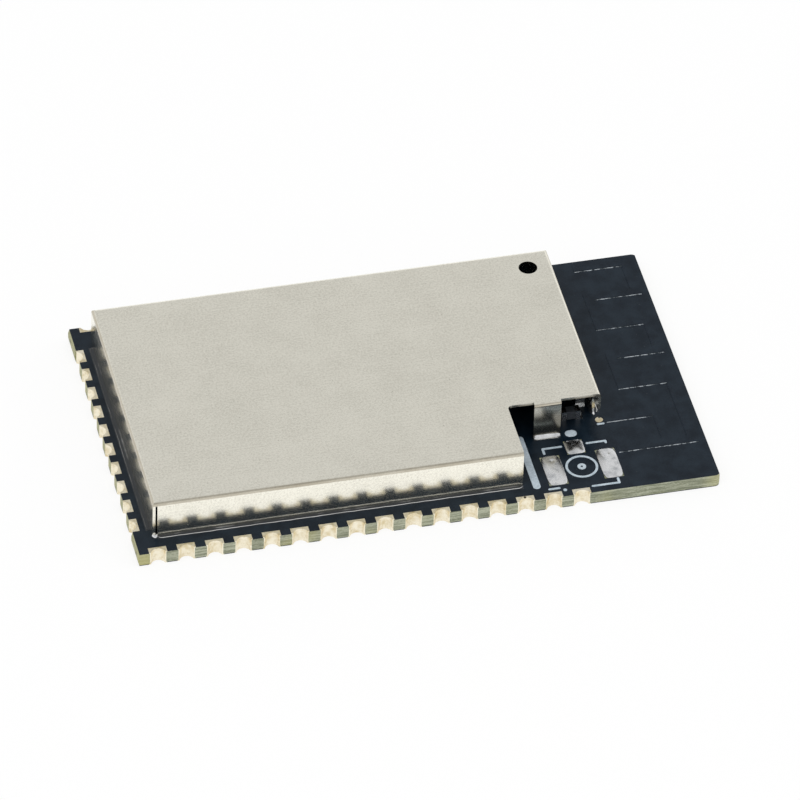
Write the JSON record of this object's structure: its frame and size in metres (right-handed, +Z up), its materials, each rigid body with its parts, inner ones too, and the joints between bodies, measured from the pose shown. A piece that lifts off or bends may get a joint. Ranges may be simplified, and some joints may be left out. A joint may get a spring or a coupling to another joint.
{
  "type": "surface-mount wifi module",
  "caption": "Flat radio module: black board with plated half-round edge contacts, folded metal shield can with a cleared corner, empty coax footprint and printed meander antenna.",
  "frame": {"origin": "middle of the module's flat underside", "axes": "+X along the board towards the antenna end, +Y across it towards the back row of contacts, +Z up through the can"},
  "size_m": [0.031, 0.018, 0.0031],
  "materials": {
    "glass_fibre": "bare glass-fibre laminate at the cut edges",
    "solder_mask": "black solder mask, satin",
    "gold_plating": "thin gold over nickel and copper",
    "can_sheet": "thin nickel-plated sheet, satin",
    "tinned_copper": "tinned copper",
    "solder": "bright solder",
    "ink": "pale printed ink",
    "copper": "bare copper under the mask",
    "chip_mould": "moulded epoxy",
    "crystal_ceramic": "fired ceramic",
    "crystal_lid": "plated metal lid",
    "capacitor_ceramic": "fired ceramic",
    "resistor_glaze": "black glaze on ceramic",
    "inductor_ceramic": "fired ceramic"
  },
  "bodies": {
    "root": {"circuit_board": "glass_fibre", "top_solder_mask": "solder_mask", "bottom_solder_mask": "solder_mask", "front_contacts": "gold_plating", "left_contacts": "gold_plating", "back_contacts": "gold_plating", "shield_can": "can_sheet", "shield_lands": "tinned_copper", "shield_solder": "solder", "connector_ground_pads": "solder", "connector_signal_pad": "solder", "printed_marks": "ink", "antenna_track": "copper", "feed_pad": "gold_plating", "radio_chip": "chip_mould", "radio_chip_lands": "solder", "memory_chip": "chip_mould", "memory_chip_legs": "tinned_copper", "crystal_base": "crystal_ceramic", "crystal_lid": "crystal_lid", "capacitor_bodies": "capacitor_ceramic", "capacitor_ends": "tinned_copper", "reservoir_capacitor_body": "capacitor_ceramic", "reservoir_capacitor_ends": "tinned_copper", "resistor_bodies": "resistor_glaze", "resistor_ends": "tinned_copper", "inductor_body": "inductor_ceramic", "inductor_ends": "tinned_copper", "part_lands": "solder"}
  },
  "joints": []
}
